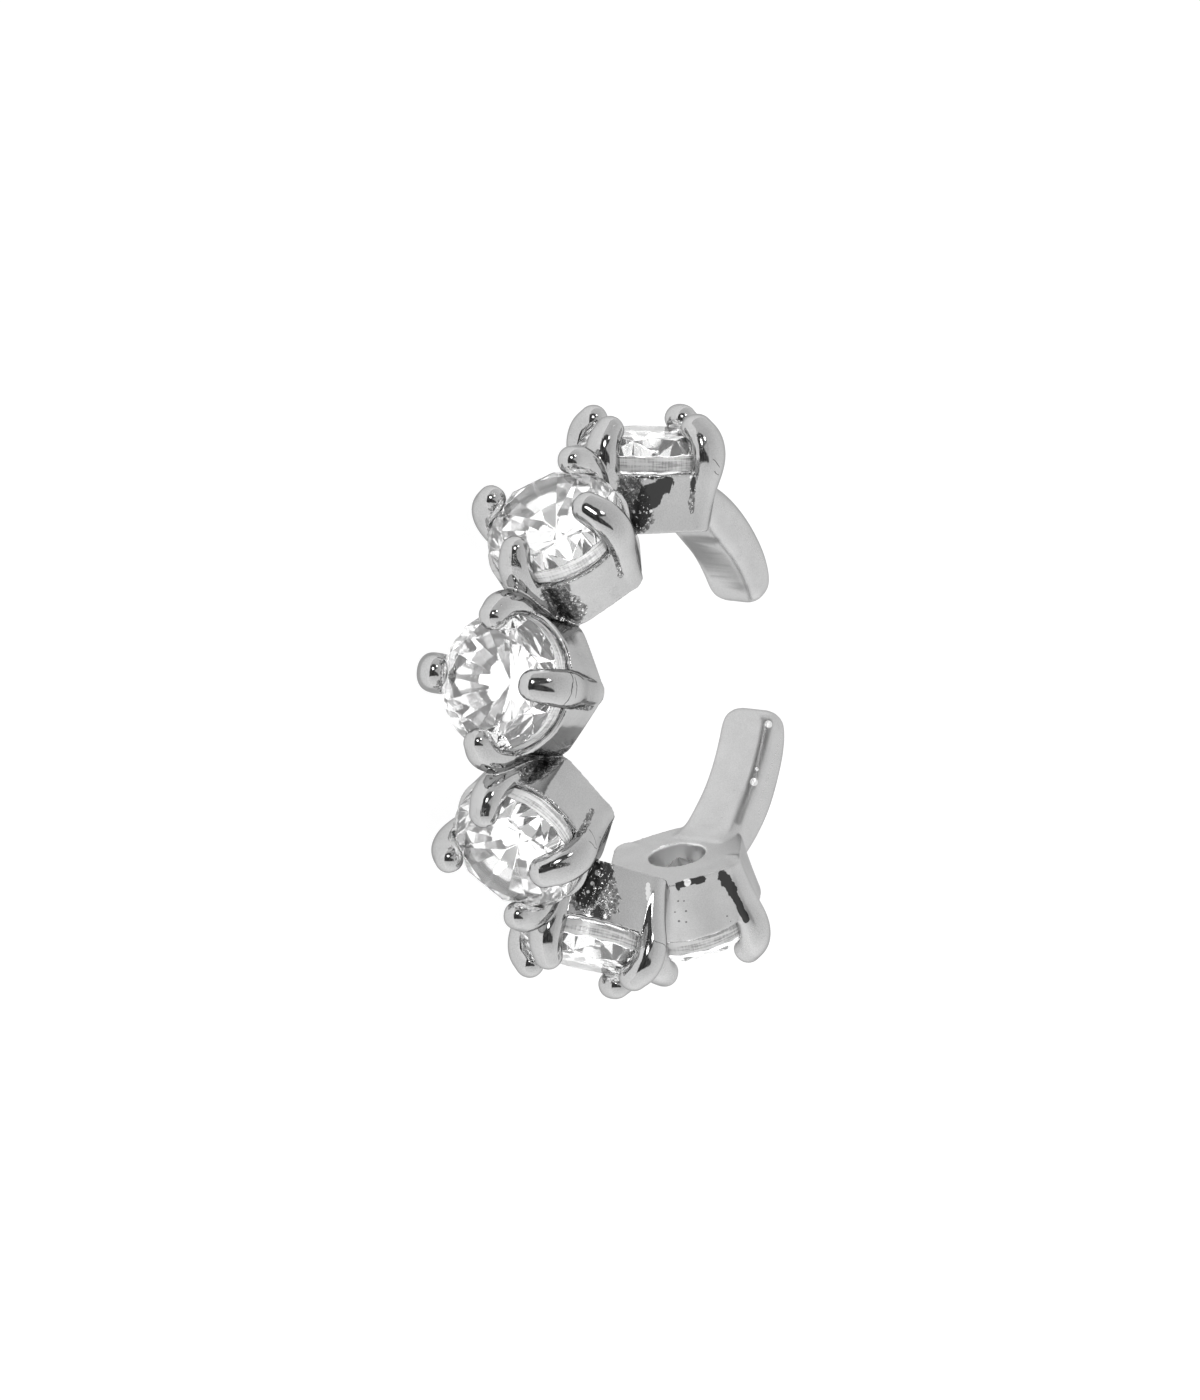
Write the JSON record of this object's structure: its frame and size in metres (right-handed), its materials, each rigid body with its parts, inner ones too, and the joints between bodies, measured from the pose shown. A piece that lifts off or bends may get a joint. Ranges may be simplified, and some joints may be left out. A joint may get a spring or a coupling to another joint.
{
  "type": "ear cuff",
  "caption": "Open C-shaped ear cuff: round brilliant stones in four-claw collets soldered corner to corner, with a plain tab at each end.",
  "frame": {"origin": "on the floor under the middle of the bounding box, with the cuff lying on its side", "axes": "+Z along the axis of the ring, -Y out through the third stone, +X towards the fifth stone, and the open mouth of the C towards +Y"},
  "size_m": [0.013, 0.0114, 0.004],
  "materials": {
    "metal": "polished bright white plating over cast metal",
    "stone": "clear cut stone with polished facets and a frosted girdle"
  },
  "bodies": {
    "root": {"cuff_frame": "metal", "stone_1": "stone", "stone_2": "stone", "stone_3": "stone", "stone_4": "stone", "stone_5": "stone", "stone_6": "stone"}
  },
  "joints": []
}
